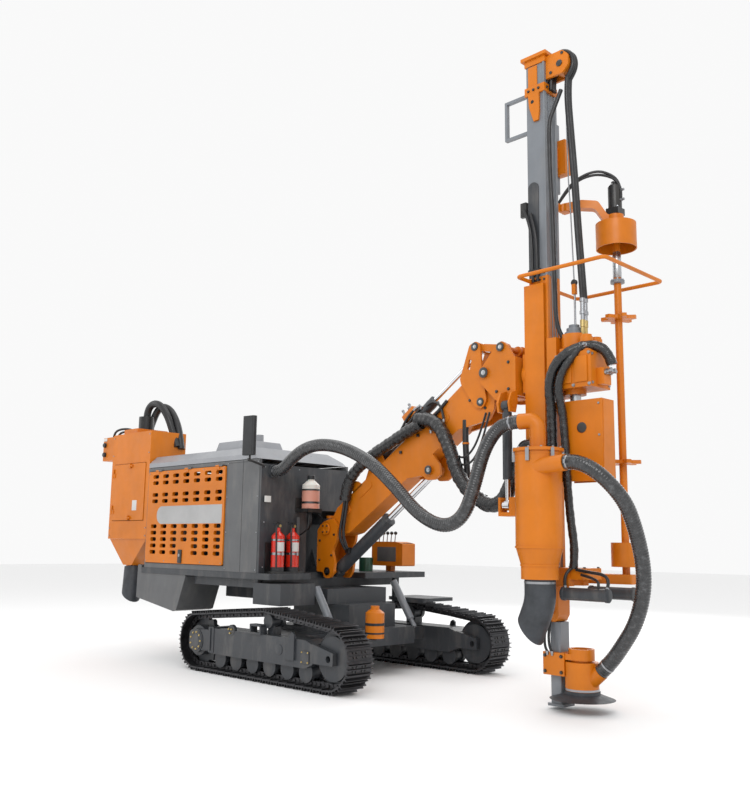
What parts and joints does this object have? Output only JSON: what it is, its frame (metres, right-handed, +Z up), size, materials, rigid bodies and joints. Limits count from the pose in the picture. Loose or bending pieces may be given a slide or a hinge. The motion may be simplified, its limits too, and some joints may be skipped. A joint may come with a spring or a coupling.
{
  "type": "crawler drilling rig",
  "caption": "Crawler blast-hole drilling rig: two tracks, engine canopy with dust collector, hydraulic boom, vertical feed mast with rotary head, rod carousel and dust cyclone.",
  "frame": {"origin": "on the ground, midway between the crawlers and midway along them, which is the centre of the rig's own footprint", "axes": "+X forward towards the mast, +Y to the rig's left, +Z up"},
  "size_m": [7.0549, 2.419, 5.74],
  "materials": {
    "orange_paint": "semi-gloss orange paint",
    "grey_paint": "satin mid grey paint",
    "dark_paint": "satin dark grey paint",
    "mast_grey": "satin light grey paint",
    "black_paint": "black paint",
    "red_paint": "gloss red paint",
    "track_steel": "worn black steel",
    "steel": "bare machined steel",
    "chrome_rod": "hard chrome",
    "black_rubber": "matt black rubber",
    "hose_black": "ribbed black hose",
    "clear_plastic": "translucent plastic",
    "black_plastic": "matt black plastic",
    "green_paint": "gloss dark green paint",
    "engine_grey": "engine casting"
  },
  "bodies": {
    "root": {"right_track": "track_steel", "left_track": "track_steel", "right_track_frame": "dark_paint", "left_track_frame": "dark_paint", "chassis_frame": "dark_paint", "fuel_tank": "grey_paint", "hydraulic_tank": "grey_paint", "engine_and_compressor": "engine_grey", "canopy_right_side": "grey_paint", "canopy_left_side": "grey_paint", "canopy_front": "dark_paint", "canopy_rear": "grey_paint", "canopy_roof": "grey_paint", "dust_box": "orange_paint", "dust_sleeve": "black_rubber", "dust_fan": "black_paint", "fire_extinguishers": "red_paint", "front_brackets": "black_paint", "fluid_bottle": "clear_plastic", "mirror": "black_plastic", "control_console": "orange_paint", "air_filter": "green_paint", "lubricator": "orange_paint", "levelling_cylinders": "mast_grey"},
    "side_hatch": {"side_hatch": "orange_paint"},
    "dust_door": {"dust_door": "orange_paint"},
    "boom_base": {"boom_base": "orange_paint"},
    "boom": {"boom": "orange_paint", "suction_hose": "hose_black"},
    "lift_barrel": {"lift_cylinder": "dark_paint"},
    "lift_rod": {"lift_rod": "chrome_rod"},
    "tilt_barrel": {"tilt_cylinder": "dark_paint"},
    "tilt_rod": {"tilt_rod": "chrome_rod"},
    "tilt_rocker": {"tilt_rocker": "orange_paint"},
    "tilt_link": {"tilt_link": "orange_paint"},
    "mast_head": {"mast_head": "orange_paint"},
    "swing_barrel": {"swing_cylinder": "dark_paint"},
    "swing_rod": {"swing_rod": "chrome_rod"},
    "mast_cradle": {"mast_cradle": "orange_paint", "extension_cylinder": "dark_paint"},
    "mast": {"mast_upper": "mast_grey", "hose_hook": "mast_grey", "mast_lower": "orange_paint", "guard_hoop": "orange_paint", "rod_table": "orange_paint", "foot_column": "mast_grey", "foot_clamp": "orange_paint", "dust_hood": "orange_paint", "hood_skirt": "black_rubber", "table_cylinders": "dark_paint", "mast_top": "orange_paint", "cyclone": "orange_paint", "cyclone_sleeve": "black_rubber", "changer_upper_arm": "orange_paint", "changer_motor": "black_paint", "hood_hose": "hose_black"},
    "carriage": {"rotary_head": "orange_paint", "rod_guard": "orange_paint"},
    "spindle": {"drill_spindle": "steel"},
    "rod_carousel": {"rod_carousel": "orange_paint"}
  },
  "joints": [
    {"name": "boom_swing", "type": "hinge", "parent": "root", "child": "boom_base", "pos_m": [-0.13, -0.1, 1.2], "axis": [0, 0, 1], "range_deg": [-35, 35]},
    {"name": "boom_lift", "type": "hinge", "parent": "boom_base", "child": "boom", "pos_m": [-0.02, -0.1, 1.448], "axis": [0, -1, 0], "range_deg": [-45, 18], "deforming": ["suction_hose"]},
    {"name": "mast_tilt", "type": "hinge", "parent": "boom", "child": "mast_head", "pos_m": [2.069, -0.1, 2.835], "axis": [0, 1, 0], "range_deg": [-95, 18]},
    {"name": "mast_swing", "type": "hinge", "parent": "mast_head", "child": "mast_cradle", "pos_m": [2.4, -0.1, 2.78], "axis": [1, 0, 0], "range_deg": [-25, 25]},
    {"name": "mast_extend", "type": "slide", "parent": "mast_cradle", "child": "mast", "axis": [0, 0, -1], "range_m": [-0.9, 0]},
    {"name": "head_feed", "type": "slide", "parent": "mast", "child": "carriage", "axis": [0, 0, 1], "range_m": [-0.68, 2.27]},
    {"name": "spindle_spin", "type": "hinge", "parent": "carriage", "child": "spindle", "pos_m": [2.9, -0.1, 2.5], "axis": [0, 0, 1], "continuous": true},
    {"name": "carousel_spin", "type": "hinge", "parent": "mast", "child": "rod_carousel", "pos_m": [3.095, 0.305, 2.5], "axis": [0, 0, 1], "continuous": true},
    {"name": "side_hatch_hinge", "type": "hinge", "parent": "root", "child": "side_hatch", "pos_m": [-1.5, -1.03, 2.096], "axis": [-1, 0, 0], "range_deg": [0, 80]},
    {"name": "dust_door_hinge", "type": "hinge", "parent": "root", "child": "dust_door", "pos_m": [-3.102, -1.016, 1.9], "axis": [0, 0, -1], "range_deg": [0, 100]},
    {"name": "lift_cylinder_pivot", "type": "hinge", "parent": "boom_base", "child": "lift_barrel", "pos_m": [0.007, -0.1, 1.019], "axis": [0, -1, 0], "range_deg": [-45, 20]},
    {"name": "lift_rod_slide", "type": "slide", "parent": "lift_barrel", "child": "lift_rod", "axis": [0.8102, 0, 0.5862], "range_m": [-0.35, 0.15]},
    {"name": "tilt_cylinder_pivot", "type": "hinge", "parent": "boom", "child": "tilt_barrel", "pos_m": [0.62, -0.1, 2.17], "axis": [0, 1, 0], "range_deg": [-6, 6]},
    {"name": "tilt_rod_slide", "type": "slide", "parent": "tilt_barrel", "child": "tilt_rod", "axis": [0.8139, 0, 0.581], "range_m": [-0.48, 0.12]},
    {"name": "rocker_pivot", "type": "hinge", "parent": "boom", "child": "tilt_rocker", "pos_m": [1.991, -0.1, 2.583], "axis": [0, 1, 0], "range_deg": [-60, 15]},
    {"name": "link_pivot", "type": "hinge", "parent": "mast_head", "child": "tilt_link", "pos_m": [2.25, -0.1, 3.047], "axis": [0, 1, 0], "range_deg": [-20, 65]},
    {"name": "swing_cylinder_pivot", "type": "hinge", "parent": "mast_head", "child": "swing_barrel", "pos_m": [2.36, -0.335, 2.5], "axis": [1, 0, 0], "range_deg": [-40, 40]},
    {"name": "swing_rod_slide", "type": "slide", "parent": "swing_barrel", "child": "swing_rod", "axis": [0, 0, -1], "range_m": [-0.12, 0.12]}
  ],
  "couplings": [
    {"joint": "lift_cylinder_pivot", "follows": "boom_lift", "ratio": 0.917},
    {"joint": "lift_rod_slide", "follows": "boom_lift", "m_per_rad": 0.388},
    {"joint": "tilt_cylinder_pivot", "follows": "mast_tilt", "ratio": 0.0255},
    {"joint": "tilt_rod_slide", "follows": "mast_tilt", "m_per_rad": 0.263},
    {"joint": "rocker_pivot", "follows": "mast_tilt", "ratio": 0.529},
    {"joint": "link_pivot", "follows": "mast_tilt", "ratio": -0.5785},
    {"joint": "swing_cylinder_pivot", "follows": "mast_swing", "ratio": 1.314},
    {"joint": "swing_rod_slide", "follows": "mast_swing", "m_per_rad": 0.219}
  ]
}
